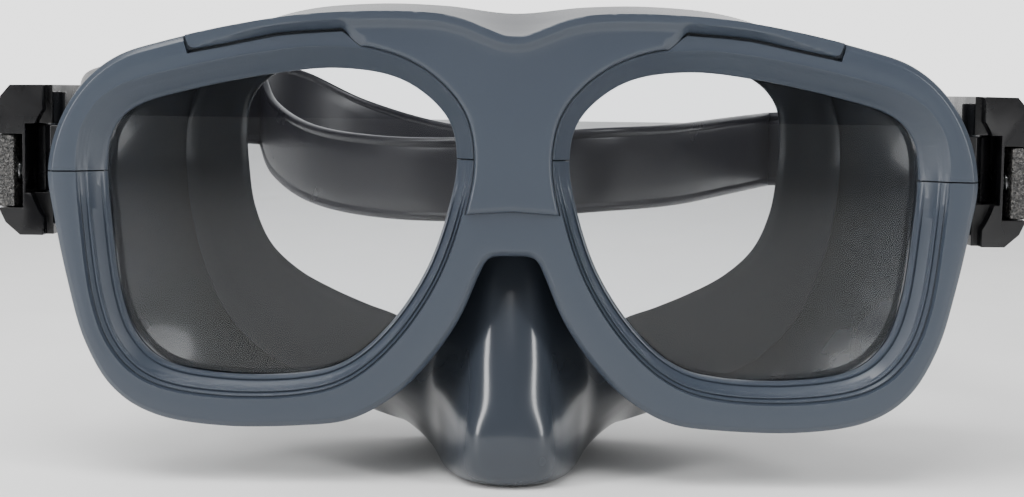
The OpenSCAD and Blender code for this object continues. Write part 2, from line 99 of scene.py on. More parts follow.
def spread(nodes, links, value, low, high, start=0.3, end=0.7):
    """A value between start and end, spread over low to high: numbers, or colours as triples."""
    if isinstance(low, tuple):
        ramp = nodes.new("ShaderNodeValToRGB")
        ramp.color_ramp.elements[0].position = start
        ramp.color_ramp.elements[1].position = end
        ramp.color_ramp.elements[0].color = low + (1,)
        ramp.color_ramp.elements[1].color = high + (1,)
        links.new(value, ramp.inputs["Fac"])
        return ramp.outputs["Color"]
    ramp = nodes.new("ShaderNodeMapRange")
    ramp.inputs["From Min"].default_value = start
    ramp.inputs["From Max"].default_value = end
    ramp.inputs["To Min"].default_value = low
    ramp.inputs["To Max"].default_value = high
    links.new(value, ramp.inputs["Value"])
    return ramp.outputs["Result"]


def add_bump(nodes, links, shader, value, depth):
    """Bump of the given depth in metres; a second call adds finer or coarser relief to it."""
    bump = nodes.new("ShaderNodeBump")
    bump.inputs["Strength"].default_value = 1.0
    bump.inputs["Distance"].default_value = depth
    links.new(value, bump.inputs["Height"])
    if shader.inputs["Normal"].is_linked:
        links.new(shader.inputs["Normal"].links[0].from_socket, bump.inputs["Normal"])
    links.new(bump.outputs["Normal"], shader.inputs["Normal"])


table_material, nodes, links, shader = new_material("pale_table")
links.new(spread(nodes, links, noise_at(nodes, links, 3.0), (0.88, 0.88, 0.88),
                 (0.92, 0.92, 0.91)), shader.inputs["Base Color"])
links.new(spread(nodes, links, noise_at(nodes, links, 40.0), 0.5, 0.65),
          shader.inputs["Roughness"])
table_mesh = bpy.data.meshes.new("table")
table_corners = [(-TABLE_HALF, -TABLE_HALF, 0), (TABLE_HALF, -TABLE_HALF, 0),
                 (TABLE_HALF, TABLE_HALF, 0), (-TABLE_HALF, TABLE_HALF, 0)]
table_mesh.from_pydata(table_corners, [], [(0, 1, 2, 3)])
table_mesh.materials.append(table_material)
table = bpy.data.objects.new("table", table_mesh)
bpy.context.scene.collection.objects.link(table)

# the room is brightest behind the mask and dimmer behind the camera
world = bpy.data.worlds.new("room")
world.use_nodes = True
nodes, links = world.node_tree.nodes, world.node_tree.links
direction = nodes.new("ShaderNodeTexCoord")
parts = nodes.new("ShaderNodeSeparateXYZ")
links.new(direction.outputs["Generated"], parts.inputs["Vector"])
nodes["Background"].inputs["Color"].default_value = (1.0, 1.0, 1.0, 1)
links.new(spread(nodes, links, parts.outputs["Y"], ROOM_FRONT, ROOM_BEHIND, 0.2, 0.94),
          nodes["Background"].inputs["Strength"])
bpy.context.scene.world = world

# name, place, where it points, size across and up, power
soft_boxes = [
    ("soft_box_top", (-0.2, -0.3, 0.9), (0, 0.02, 0.05), 0.8, 0.5, 11.0),
    ("soft_box_left", (-0.7, -0.5, 0.35), (-0.02, 0, 0.05), 0.15, 0.6, 6.0),
    ("soft_box_right", (0.7, -0.5, 0.35), (0.02, 0, 0.05), 0.12, 0.6, 5.0),
]
for name, place, target, across, up, power in soft_boxes:
    light = bpy.data.lights.new(name, "AREA")
    light.shape = "RECTANGLE"
    light.size, light.size_y, light.energy = across, up, power
    lamp = bpy.data.objects.new(name, light)
    back = np.subtract(place, target)
    lamp.matrix_world = (Matrix.Translation(place)
                         @ Vector(back.tolist()).to_track_quat("Z", "Y").to_matrix().to_4x4())
    bpy.context.scene.collection.objects.link(lamp)

# ---------- rim: lower and upper frame ----------
# The rim is moulded in two halves of satin slate-blue polycarbonate that clip together over the
# glass and the skirt's collars, with a thin parting line beside each lens. Round each lens it
# slopes in to a lip; the lower half has a groove and a rib on that slope.

MM = 0.001
RIM_FACE = -12.0                  # the face of the rim, in front of the origin
RIM_BACK = 9.5                    # the back of the rim, behind its face
GLASS_SEAT = 4.8                  # front of the skirt's collar
COLLAR_OUT = 3.9                  # how far the collar's seat reaches past the opening
PART_GAP = 0.12                   # half the parting line's width
CROWN = 0.12                      # how far the face is crowned
BEVEL_NOSE, BEVEL_TEMPLE = 2.8, 4.8              # the slope's width beside the nose and temple
BROW_DIP, NOSE_TOP = 80.8, 41.8                  # heights on the middle line
MIDDLE_LOW, MIDDLE_HIGH = 43.5, 77.5             # the stretch of that line that columns end on
FINE = 60                                        # steps between two chosen points of an outline

# the lens opening, clockwise from the nose side, across and up
lens_opening = [
    (10.1, 59.1), (12.3, 66.9), (20.1, 73.0), (31.1, 74.9), (43.6, 73.7), (58.1, 70.7),
    (67.5, 67.7), (71.7, 63.3), (72.8, 57.2), (72.2, 47.2), (70.6, 34.5), (67.6, 26.3),
    (61.8, 21.4), (50.9, 19.5), (38.0, 19.8), (29.5, 22.3), (22.0, 28.9), (15.6, 38.6),
    (11.7, 49.4)]

# the rim's outer edge, from the dip between the brows round to the top of the nose cut-out
rim_outline = [
    (0, 80.8), (2.0, 81.0), (5.2, 82.2), (9.6, 83.85), (15.0, 84.75), (24.9, 84.9), (37.7, 84.1),
    (50.1, 82.1), (62.1, 79.3), (70.4, 76.5), (76.6, 71.5), (80.9, 64.4), (82.8, 56.2),
    (81.8, 48.1), (79.5, 36.5), (76.6, 25.9), (71.6, 17.3), (63.8, 12.4), (52.0, 10.5),
    (38.0, 10.7), (28.6, 12.0), (20.6, 16.5), (14.4, 22.8), (9.4, 30.2), (6.1, 37.8),
    (4.6, 40.8), (3.0, 41.7), (0, 41.8)]


def smooth_line(points, steps, closed=False):
    """A Catmull-Rom curve through the points: a cubic between each two, whose slope at a point
    is half the step from the point before it to the point after it."""
    p = np.asarray(points, float)
    if closed:
        before, after, last = np.roll(p, 1, 0), np.roll(p, -1, 0), np.roll(p, -2, 0)
    else:
        before = np.vstack([2 * p[:1] - p[1:2], p[:-2]])
        after = p[1:]
        last = np.vstack([p[2:], 2 * p[-1:] - p[-2:-1]])
        p = p[:-1]
    t = np.arange(steps)[None, :, None] / steps
    a, b, c, d = (q[:, None, :] for q in (before, p, after, last))
    line = 0.5 * (2 * b + (c - a) * t + (2 * a - 5 * b + 4 * c - d) * t ** 2
                  + (3 * b - a - 3 * c + d) * t ** 3)
    line = line.reshape(-1, p.shape[1])
    return line if closed else np.vstack([line, np.asarray(points, float)[-1:]])


def run_length(line):
    """Distance along a line from its first point to each point."""
    return np.concatenate([[0], np.cumsum(np.linalg.norm(np.diff(line, axis=0), axis=1))])


def at_lengths(line, lengths):
    """Points of a line at the given distances along it."""
    run = run_length(line)
    return np.stack([np.interp(lengths, run, line[:, k]) for k in range(line.shape[1])], 1)


def nearest_length(line, point):
    """Distance along a line of its point nearest to the given one."""
    return run_length(line)[np.argmin(np.linalg.norm(line - np.asarray(point), axis=1))]


def outward_normals(loop):
    """Unit vectors out of a closed clockwise loop, square to the step between neighbours."""
    d = np.roll(loop, -1, 0) - np.roll(loop, 1, 0)
    return np.stack([-d[:, 1], d[:, 0]], 1) / np.linalg.norm(d, axis=1)[:, None]


opening_fine = smooth_line(lens_opening, FINE, True)
bevel_out = outward_normals(opening_fine)
bevel_width = BEVEL_NOSE + (BEVEL_TEMPLE - BEVEL_NOSE) * (1 + bevel_out[:, 0]) / 2
ridge_fine = opening_fine + bevel_out * bevel_width[:, None]
mirror_top, mirror_foot = (-2.0, 81.0), (-3.0, 41.7)
outline_fine = smooth_line([mirror_top] + rim_outline + [mirror_foot], FINE)[FINE:-FINE]

# lines across the rim that tie its slope's upper edge to its outer edge, clockwise from the
# dip; the last few end on the middle line
rim_ties = [
    ((13.1, 71.8), (0, 80.8)), ((20.2, 76.2), (10.0, 83.9)), ((26.7, 78.1), (26.5, 84.9)),
    ((32.5, 77.5), (33.5, 84.5)), ((56.9, 73.7), (58.5, 80.2)), ((69.6, 70.4), (74.0, 74.2)),
    ((73.2, 68.0), (78.2, 69.4)), ((75.9, 64.2), (81.2, 63.4)), ((77.6, 56.0), (82.8, 56.0)),
    ((76.5, 48.3), (81.7, 47.5)), ((75.2, 39.9), (80.1, 39.0)), ((71.7, 26.5), (75.6, 24.0)),
    ((68.2, 20.8), (70.7, 16.4)), ((62.0, 17.5), (62.9, 12.1)), ((50.2, 15.9), (50.3, 10.4)),
    ((39.5, 16.6), (38.6, 10.6)), ((32.3, 17.8), (29.6, 11.7)), ((26.9, 21.1), (22.2, 15.3)),
    ((19.8, 28.8), (14.8, 22.4)), ((14.5, 37.0), (8.9, 31.2)), ((10.8, 44.4), (4.6, 40.8)),
    ((9.5, 47.6), (0, 41.8)), ((8.9, 49.3), (0, 49.8)), ((8.0, 53.0), (0, 54.0)),
    ((7.3, 59.0), (0, 59.0)), ((7.4, 62.5), (0, 63.0)), ((8.9, 66.8), (0, 69.5)),
    ((13.1, 71.8), (0, 80.8))]
TIP, TEMPLE, CORNER, TONGUE, NOSE = 4, 8, 21, 22, 24          # ties that other things use
COLUMN_STEP = 0.7                                             # mm between columns

# the part of the middle line that columns end on, clear of the rows along the outer edge
middle_fine = np.stack([np.zeros(400), np.linspace(MIDDLE_LOW, MIDDLE_HIGH, 400)], 1)


def rim_columns():
    """Matched points on the opening, the slope's upper edge and the outer edge. Between two ties
    the points of each line are spaced evenly along it, so lines across never cross.
    Gives the three point arrays, whether each column ends on the middle line, and the number of
    each tie's column."""
    ridge_closed = np.vstack([ridge_fine, ridge_fine[:1]])
    total = run_length(ridge_closed)[-1]
    opening_closed = np.vstack([opening_fine, opening_fine[:1]])
    share = run_length(ridge_closed)
    inner, outer, on_middle, tie_column = [], [], [], []
    reach = [nearest_length(ridge_closed, a) for a, _ in rim_ties]
    reach = [r if i == 0 or r > reach[0] else r + total for i, r in enumerate(reach)]
    reach[-1] = reach[0] + total
    count = 0
    for i in range(len(rim_ties) - 1):
        middle = i >= CORNER
        curve = middle_fine if middle else outline_fine
        start = (run_length(curve)[0] if i == CORNER else
                 nearest_length(curve, rim_ties[i][1]))
        end = (run_length(curve)[-1] if i + 1 in (CORNER, len(rim_ties) - 1) else
               nearest_length(curve, rim_ties[i + 1][1]))
        n = max(2, int(round(max(reach[i + 1] - reach[i], end - start) / COLUMN_STEP)))
        t = np.arange(n) / n
        tie_column.append(count)
        inner.append(reach[i] + (reach[i + 1] - reach[i]) * t)
        points = at_lengths(curve, start + (end - start) * t)
        flags = np.full(n, middle)
        if i == CORNER:                      # the corner itself still belongs to the outer edge
            points[0] = (0, NOSE_TOP)
            flags[0] = False
        outer.append(points)
        on_middle.append(flags)
        count += n
    tie_column.append(count)
    inner = np.concatenate(inner) % total
    ridge = np.stack([np.interp(inner, share, ridge_closed[:, k]) for k in (0, 1)], 1)
    opening = np.stack([np.interp(inner, share, opening_closed[:, k]) for k in (0, 1)], 1)
    return opening, ridge, np.concatenate(outer), np.concatenate(on_middle), tie_column


opening_at, ridge_at, outer_at, on_middle, tie_column = rim_columns()


# the brow cover's lower edge on one side: along the wing from its tip, then the diagonal
cover_edge = np.array([(58.6, 76.85), (57.6, 77.1), (51.0, 78.4), (42.1, 80.3), (37.7, 80.8),
                       (30.2, 81.3), (26.7, 78.25), (20.0, 76.3)])
WING_GAP, SEAT_GAP = 0.6, 0.12                   # the dark gap under a wing, and elsewhere
RECESS, GUTTER = 1.2, 2.6                        # depth of the cover's recess and of that gap


def smooth_step(value, start, end):
    """0 before start, 1 after end, and 3t squared less 2t cubed between them."""
    t = np.clip((value - start) / (end - start), 0, 1)
    return t * t * (3 - 2 * t)


def add_twin(arrays, column, share=0.93):
    """Adds a column just before the given one, at a share of the way from its neighbour."""
    return [np.insert(a, column, a[column - 1] * (1 - share) + a[column] * share, 0)
            if a.dtype != bool else np.insert(a, column, a[column]) for a in arrays]


# a twin just before the tongue's foot and one just after the wing's tip keep their steps sharp
for first_moved, column, share in ((TONGUE, tie_column[TONGUE], 0.93),
                                   (TIP + 1, tie_column[TIP] + 1, 0.07)):
    opening_at, ridge_at, outer_at, on_middle = add_twin(
        [opening_at, ridge_at, outer_at, on_middle], column, share)
    tie_column = [c + 1 if k >= first_moved else c for k, c in enumerate(tie_column)]
# the recess runs from the tongue's foot over the dip to the wing's tip
columns = len(ridge_at)
column_number = np.arange(columns)
under_cover = (column_number >= tie_column[TONGUE]) | (column_number <= tie_column[TIP])
bevel_way = (ridge_at - opening_at)
bevel_way /= np.linalg.norm(bevel_way, axis=1)[:, None]
across = outer_at - ridge_at
across_length = np.linalg.norm(across, axis=1)
across /= across_length[:, None]

# where each column crosses the cover's edge: on the wing's line, or just past the ridge
trial_share = np.linspace(0.05, 1, 300)
trial = (ridge_at[:, None]
         + across[:, None] * trial_share[None, :, None] * across_length[:, None, None])
edge_height = np.interp(trial[..., 0], cover_edge[::-1, 0], cover_edge[::-1, 1])
crossing = np.argmin(np.abs(trial[..., 1] - edge_height), axis=1)
on_wing = (column_number <= tie_column[TIP] + 1) & (outer_at[:, 0] > 22)
edge_run = np.where(on_wing, trial_share[crossing] * across_length, 0.3)
edge_run = np.where(under_cover | on_wing, np.maximum(edge_run, 0.3), across_length * 0.45)
wing_share = smooth_step(ridge_at[:, 0] + across[:, 0] * edge_run, 28.6, 30.4) * on_wing
gap_run = SEAT_GAP + (WING_GAP - SEAT_GAP) * wing_share

# inward normals of the outer edge; straight down or up on the middle line
outer_step = np.roll(outer_at, -1, 0) - np.roll(outer_at, 1, 0)
outer_in = np.stack([outer_step[:, 1], -outer_step[:, 0]], 1)
outer_in /= np.linalg.norm(outer_in, axis=1)[:, None]
outer_in[on_middle] = 0
outer_in[0] = (0, -1)
outer_in[tie_column[CORNER]] = (0, 1)

# the slope from the ridge to the lip: share of its width, depth without and with the rib
slope_profile = np.array([
    (0, 0, 0), (.012, .04, .10), (.03, .12, .55), (.06, .22, .80), (.09, .35, .84),
    (.125, .52, .62), (.15, .62, .60), (.22, .92, 1.0), (.28, 1.2, 1.30), (.30, 1.27, 1.12),
    (.33, 1.42, .98), (.37, 1.58, .98), (.40, 1.7, 1.15), (.44, 1.86, 1.95), (.62, 2.65, 2.75),
    (.76, 3.2, 3.45), (.80, 3.4, 3.30), (.85, 3.6, 3.22), (.90, 3.8, 3.30),
    (.94, 3.96, 3.65), (.98, 4.12, 4.08), (1, 4.3, 4.3)])[::-1]
# the outer edge: distance in from it, and depth
edge_profile = [(1.3, 0), (1.12, .01), (1.0, .05), (.9, .12), (.55, .42), (.25, .70), (.08, .92),
                (0, 1.18)]


def rim_section(part):
    """Rows of points (across, depth, up) for the columns in part, from the collar's seat over
    the lip, the slope, the face and the outer edge to the back. The face is crowned by CROWN,
    and is let in where the brow cover lies."""
    o, r, x, w = opening_at[part], ridge_at[part], outer_at[part], bevel_way[part]
    a, run = across[part], edge_run[part]
    inset, gap = outer_in[part], gap_run[part]
    let_in = under_cover[part].astype(float)
    crown = CROWN * smooth_step(x[:, 0], 0, 12)
    ribbed = smooth_step(-r[:, 1], -60, -46)
    ones = np.ones(len(o))
    rows = []

    def row(points, depth):
        rows.append(np.column_stack([points[:, 0], depth * ones, points[:, 1]]))

    row(o + w * (COLLAR_OUT + 0.3), RIM_BACK)
    row(o + w * COLLAR_OUT, RIM_BACK - 0.3)
    row(o + w * COLLAR_OUT, GLASS_SEAT)
    row(o + w * 0.2, GLASS_SEAT)
    row(o, GLASS_SEAT - 0.15)
    for share, plain, rib in slope_profile:
        row(o + (r - o) * (1 - share), plain + (rib - plain) * ribbed)
    # the face up to the cover's edge, the gap, and the recess or the rest of the face
    last = x + inset * edge_profile[0][0]
    last_run = np.linalg.norm(last - r, axis=1)
    way = (last - r) / last_run[:, None]
    reach = np.minimum(run, last_run - gap - 0.3)

    def face(distance, depth_in):
        share = distance / last_run
        hollow = crown * ((2 * share - 1) ** 2 - (1 - share) ** 8)
        row(r + way * distance[:, None], np.where(let_in * depth_in > 0, depth_in, hollow))

    for t in (0.06, 0.2, 0.4, 0.6, 0.8, 0.94, 1.0):
        face(reach * t, 0)
    deep = RECESS + (GUTTER - RECESS) * wing_share[part]
    face(reach + 0.03, deep)
    face(reach + gap - 0.03, deep)
    for t in (0, 0.2, 0.4, 0.6, 0.8, 0.94):
        face(reach + gap + (last_run - reach - gap) * t, RECESS)
    front_last = len(rows)
    for distance, depth in edge_profile:
        row(x + inset * distance, np.where(let_in > 0, max(depth, RECESS), depth + crown))
    for depth in (3.2, 6.4, RIM_BACK - 0.35):
        row(x, depth)
    row(x + inset * 0.15, RIM_BACK - 0.1)
    row(x + inset * 0.5, RIM_BACK)
    return np.array(rows), front_last, len(rows) - 1


def piece_from(name, points, faces, material, body, twin=False, sharp=32):
    """A mesh object from points (across, depth behind the rim's face, up) in mm and faces.
    twin adds the mirror image across the middle; points that meet are merged, and the normals
    are turned outwards."""
    points = np.asarray(points, float).reshape(-1, 3)
    used = np.unique(np.concatenate([np.asarray(f).ravel() for f in faces]))
    place = np.full(len(points), -1)
    place[used] = np.arange(len(used))
    points = points[used] * MM + np.array([0, RIM_FACE * MM, 0])
    lists = [place[np.asarray(f)] for f in faces]
    groups = [points]
    everything = [row for f in lists for row in (f.tolist() if f.ndim == 2 else [f.tolist()])]
    if twin:
        groups.append(points * np.array([-1, 1, 1]))
        everything += [[i + len(points) for i in row[::-1]] for row in everything]
    mesh = bpy.data.meshes.new(name)
    mesh.from_pydata(np.vstack(groups).tolist(), [], everything)
    shell = bmesh.new()
    shell.from_mesh(mesh)
    bmesh.ops.remove_doubles(shell, verts=shell.verts, dist=1e-6)
    bmesh.ops.recalc_face_normals(shell, faces=shell.faces)
    shell.to_mesh(mesh)
    shell.free()
    mesh.shade_smooth()
    mesh.set_sharp_from_angle(angle=math.radians(sharp))
    mesh.materials.append(material)
    piece = bpy.data.objects.new(name, mesh)
    bpy.context.scene.collection.objects.link(piece)
    if body:
        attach(piece, body)
    return piece


def grid_faces(row_count, column_count, ring_rows=False, ring_columns=False):
    """Four-sided faces between neighbouring points of a grid that is numbered row by row."""
    i = np.arange(row_count if ring_rows else row_count - 1)[:, None]
    j = np.arange(column_count if ring_columns else column_count - 1)[None, :]
    i2, j2 = (i + 1) % row_count, (j + 1) % column_count
    return np.stack([i * column_count + j, i * column_count + j2,
                     i2 * column_count + j2, i2 * column_count + j], -1).reshape(-1, 4)


def rim_part(name, first, last, up, material):
    """A length of the rim as a closed tube from one parting line to the other, with its mirror
    image. Faces that would lie on the middle plane are left out."""
    part = np.arange(first, last + 1) % columns
    grid, front_last, back_first = rim_section(part)
    grid[:, [0, -1], 2] += up * PART_GAP
    faces = grid_faces(*grid.shape[:2], ring_rows=True)
    inside = (np.abs(grid[..., 0].ravel()[faces]) < 1e-9).all(1)
    caps = []
    for end in (0, len(part) - 1):
        shown = [k for k in range(len(grid)) if not (on_middle[part[end]]
                                                     and front_last < k < back_first)]
        caps.append(np.array(shown) * len(part) + end)
    return piece_from(name, grid, [faces[~inside]] + caps, material, "mask", twin=True)


rim_plastic, nodes, links, shader = new_material("satin_slate_plastic")
tone = spread(nodes, links, noise_at(nodes, links, 14.0, 3.0), (0.031, 0.040, 0.056),
              (0.038, 0.049, 0.067))
links.new(tone, shader.inputs["Base Color"])
links.new(spread(nodes, links, noise_at(nodes, links, 60.0, 3.0), 0.30, 0.38),
          shader.inputs["Roughness"])
add_bump(nodes, links, shader, noise_at(nodes, links, 2600.0, 2.0), 0.00001)
add_bump(nodes, links, shader, noise_at(nodes, links, 90.0, 2.0, (1, 1, 0.2)), 0.00001)

lower_rim = rim_part("lower_rim", tie_column[TEMPLE], tie_column[NOSE], -1, rim_plastic)
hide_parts("lower_frame")
upper_rim = rim_part("upper_rim", tie_column[NOSE], tie_column[TEMPLE] + columns, 1, rim_plastic)
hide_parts("upper_frame")

# ---------- brow cover ----------
# A Y-shaped cover of the same plastic is pressed into a recess over the brow. A raised band
# runs along its top edge, the wings slope down to a dark gap, and a tongue ends between the eyes.

COVER_PROUD, COVER_FACE = 1.6, 0.9               # the band and the face, in front of the rim
COVER_FOOT = 1.1                                 # how deep the cover reaches into its recess
TIP_ROUND, FOOT_ROUND = 1.3, 1.1                 # of the wing's corner and the tongue's foot
WING_SUNK = 0.6                                  # the wing's lower edge, behind the rim's face
BAND_WIDTH = 1.25                                # the raised band along the top edge
WING_RISE = (45.5, 58.0)                         # where the band widens to the whole wing


def cover_piece():
    """The cover as a closed tube: rows run from its lower edge to the outer edge. Its height is
    the larger of the band's (by distance from the outer edge) and the slope's (by distance from
    the lower edge)."""
    tip = tie_column[TIP]
    foot = tie_column[TONGUE]
    near_foot_columns = foot + np.array([0, .02, .06, .15, .3, .5, .75, 1.0, 1.3, 1.6])
    near_tip_columns = tip - 3 + np.array([0, .4, .8, 1.2, 1.5, 1.75, 1.95, 2.1, 2.2, 2.25])
    part = np.r_[near_foot_columns, foot + 2:columns, 0:tip - 3, near_tip_columns]

    def along(values):
        """Values of the rim's columns at the cover's columns, which are closer near the tip."""
        return np.stack([np.interp(part, column_number, v) for v in values.T], -1)

    r, x, inset = along(ridge_at), along(outer_at), along(outer_in)
    wing = along(wing_share[:, None])[:, 0]
    run = along(edge_run[:, None])
    gap = along(gap_run[:, None])
    last = x + inset * edge_profile[0][0]
    last_run = np.linalg.norm(last - r, axis=1)
    start = r + (last - r) / last_run[:, None] * (run + gap)
    # the wing's lower corner is rounded
    to_end = np.linalg.norm(start - start[-1], axis=1)
    turn = np.clip(1 - to_end / TIP_ROUND, 0, 1)
    lift = TIP_ROUND * (1 - np.sqrt(1 - turn ** 2)) * wing
    start = start + (x - start) / np.linalg.norm(x - start, axis=1)[:, None] * lift[:, None]
    room = np.linalg.norm(x - start, axis=1)
    way = (x - start) / room[:, None]
    # the band widens to the whole wing at the tip, and sinks there to the rim's own face
    to_tip = np.clip((start[:, 0] - WING_RISE[0]) / (WING_RISE[1] - WING_RISE[0]), 0, 1) * wing
    band = BAND_WIDTH + (room - BAND_WIDTH) * to_tip
    proud = COVER_PROUD - (COVER_PROUD - 0.3) * smooth_step(start[:, 0], 34.0, 60.0) * wing
    outline = np.vstack([outline_fine[::6], outline_fine[::6] * [-1, 1]])
    outline = outline[outline[:, 1] > 60]
    diagonal = smooth_step(start[:, 0], 26.2, 26.9) * (start[:, 0] < 31)
    chamfer = 0.75 + 1.25 * diagonal
    squeeze = np.minimum(1, room / 5.2)
    # the tongue's foot is rounded over
    near_foot = (start[:, 1] < 55) & (start[:, 0] < 12)
    foot_run = np.where(near_foot, np.clip((start[:, 1] - start[0, 1]) / FOOT_ROUND, 0, 1), 1)
    foot_drop = 0.75 * (1 - np.sqrt(1 - (1 - foot_run) ** 2))
    rows = []

    def top(points, run):
        edge_distance = np.linalg.norm(points[:, None] - outline[None], axis=2).min(1)
        slope = np.clip(run / np.maximum(room - band, 0.4), 0, 1)
        low = WING_SUNK * (1 - to_tip)
        wing_height = -low + (proud + low) * slope
        edge_rise = np.sqrt(np.clip(1 - (1 - np.clip(run / chamfer, 0, 1)) ** 2, 0, 1))
        rise = edge_rise * (1 - diagonal) + np.clip(run / chamfer, 0, 1) * diagonal
        centre = 0.1 + (COVER_FACE - 0.1) * rise
        centre = centre + (COVER_PROUD - centre) * smooth_step(-edge_distance, -2.9, -1.3)
        height = centre + (wing_height - centre) * wing
        on_band = smooth_step(-edge_distance, -band - 0.15, -band) * wing
        height = height + (proud - height) * on_band
        return height - foot_drop - 0.35 * smooth_step(-edge_distance, -0.35, 0.05) ** 2

    def row(points, height):
        rows.append(np.column_stack([points[:, 0], -height * np.ones(len(points)), points[:, 1]]))

    row(start, -COVER_FOOT)
    row(start, -0.1 - 0.75 * wing)
    for run in (0, 0.06, 0.16, 0.32, 0.55, 0.9, 1.4, 2.0):
        points = start + way * (run * squeeze)[:, None]
        row(points, top(points, run * squeeze))
    inner, outer = start + way * (2.0 * squeeze)[:, None], x + inset * (3.0 * squeeze)[:, None]
    for t in (0.2, 0.4, 0.6, 0.8):
        points = inner + (outer - inner) * t
        row(points, top(points, np.linalg.norm(points - start, axis=1)))
    front_last = len(rows)
    for distance in (3.0, 2.6, 2.2, 1.9, 1.6, 1.4, 1.25, 1.0, 0.7, 0.4, 0.2, 0.08, 0):
        points = x + inset * (distance * squeeze)[:, None]
        row(points, top(points, np.linalg.norm(points - start, axis=1)))
    row(x, 0)
    row(x, -COVER_FOOT)
    grid = np.array(rows)
    back_first = len(grid) - 1
    faces = grid_faces(*grid.shape[:2], ring_rows=True)
    inside = (np.abs(grid[..., 0].ravel()[faces]) < 1e-9).all(1)
    caps = []
    for end, on_plane in ((0, True), (len(part) - 1, False)):
        shown = [k for k in range(len(grid)) if not (on_plane and front_last < k < back_first)]
        caps.append(np.array(shown) * len(part) + end)
    return piece_from("brow_bridge", grid, [faces[~inside]] + caps, rim_plastic, "mask",
                      twin=True)


brow_bridge = cover_piece()
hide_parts("brow_cover")

# ---------- lenses ----------
# Each lens is a flat pane of clear tempered glass with a faint grey tint, held in the groove of
# the skirt's collar. Its shape is the frame's own solid.

lens_glass, nodes, links, shader = new_material("tempered_glass")
shader.inputs["Base Color"].default_value = (0.86, 0.88, 0.90, 1)
shader.inputs["Transmission Weight"].default_value = 1.0
shader.inputs["IOR"].default_value = 1.33
links.new(spread(nodes, links, noise_at(nodes, links, 30.0), 0.0, 0.012),
          shader.inputs["Roughness"])
for side in ("left", "right"):
    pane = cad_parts[side + "_lens"]
    pane.data.materials.clear()
    pane.data.materials.append(lens_glass)

# ---------- skirt ----------
# The skirt is one moulding of glossy dark silicone: a wall that widens to the face seal, folds
# in to a thin lip and bulges forward into the nose pocket. A web closes its front, and a collar
# round each lens is clamped between the two halves of the rim.

# points of half the skirt, from the top middle round the temple to the bottom middle: across,
# depth, up. The front edge, the face seal and the lip's inner edge
skirt_front = [
    (0, 9.8, 76.4), (12.1, 9.8, 79.7), (26.2, 9.8, 80.1), (40.0, 9.8, 78.9), (53.9, 9.8, 76.5),
    (67.1, 9.8, 73.0), (74.1, 9.8, 67.0), (77.6, 9.8, 57.0), (77.0, 9.8, 47.0),
    (74.9, 9.8, 36.0), (71.5, 9.8, 24.5), (63.0, 9.8, 17.0), (50.0, 9.8, 15.3),
    (36.1, 9.8, 15.5), (24.1, 9.8, 20.5)]
face_seal = [
    (0, 43, 86.6), (13.9, 43, 88.0), (27.8, 44, 88.3), (42.0, 46, 87.0), (54.2, 50, 83.2),
    (63.6, 55, 76.5), (68.3, 59.5, 67.4), (69.4, 61.5, 57.0), (68.0, 60, 45.1),
    (64.6, 57, 34.0), (59.1, 54, 23.9), (51.1, 52, 15.7), (41.0, 51, 10.0), (31.5, 50.5, 6.2),
    (24.5, 50, 3.8), (18.8, 50, 2.2), (12.8, 50, 0.6), (8.0, 49.8, 0.1), (4.0, 49.6, 0),
    (0, 49.5, 0)]
lip_edge = [
    (0, 45, 76.5), (13.0, 45, 77.5), (27.0, 46, 78.0), (38.9, 47.5, 77.3), (48.5, 50, 74.0),
    (53.5, 52.5, 69.0), (54.8, 54.5, 62.5), (54.6, 55, 55.5), (53.3, 54.5, 47.0),
    (49.8, 53, 39.5), (44.0, 51.5, 34.2), (37.0, 50.5, 30.4), (29.5, 49.5, 27.3),
    (22.9, 48, 25.0), (19.6, 47.4, 21.5), (17.3, 47, 17.0), (14.6, 46.6, 12.4),
    (10.0, 46.5, 9.2), (5.0, 46.5, 7.8), (0, 46.5, 7.5)]
# five lines down the nose pocket, from the wing beside it over the fold to the middle
nose_lines = [
    [(18.5, 10.0, 26.5), (18.0, 13.4, 24.0), (17.6, 16.5, 21.2), (17.2, 19.0, 18.0),
     (16.8, 21.0, 14.6), (16.4, 22.4, 11.2), (16.1, 24.0, 7.2), (15.8, 28.0, 3.4),
     (16.4, 37.0, 1.6), (18.8, 50.0, 2.2)],
    [(12.9, 10.4, 33.0), (12.7, 12.2, 29.0), (12.8, 13.4, 25.0), (13.0, 13.8, 20.5),
     (13.0, 13.2, 15.5), (12.8, 12.4, 10.5), (12.6, 12.2, 5.8), (12.2, 13.6, 1.4),
     (12.4, 24.0, 0.0), (12.8, 50.0, 0.6)],
    [(7.0, 11.2, 39.5), (7.6, 10.4, 34.5), (8.4, 9.0, 28.5), (8.9, 7.2, 22.0),
     (8.8, 5.0, 16.0), (9.3, 3.0, 10.2), (9.5, 2.8, 5.2), (8.9, 4.8, 0.9),
     (9.2, 16.0, 0.0), (8.0, 49.8, 0.1)],
    [(3.2, 11.6, 43.0), (4.0, 8.8, 37.5), (4.9, 5.8, 30.5), (5.5, 2.8, 23.5),
     (5.7, 0.2, 16.4), (6.3, -1.9, 10.6), (6.2, -1.8, 5.0), (5.0, 0.6, 0.7),
     (5.0, 13.0, 0.0), (4.0, 49.6, 0.0)],
    [(0, 12.0, 45.0), (0, 8.6, 38.5), (0, 4.8, 31.0), (0, 1.2, 23.5), (0, -1.6, 16.6),
     (0, -3.2, 10.8), (0, -3.0, 5.0), (0, -0.6, 0.6), (0, 12.0, 0.0), (0, 49.5, 0.0)]]
SKIRT_WALL, LIP_THICK = 2.0, 1.6
WAIST_IN = 1.0                                   # how far the wall draws in at its waist
WEB_INSET = 5.5                                  # the web's edge, inside the rim's outer edge


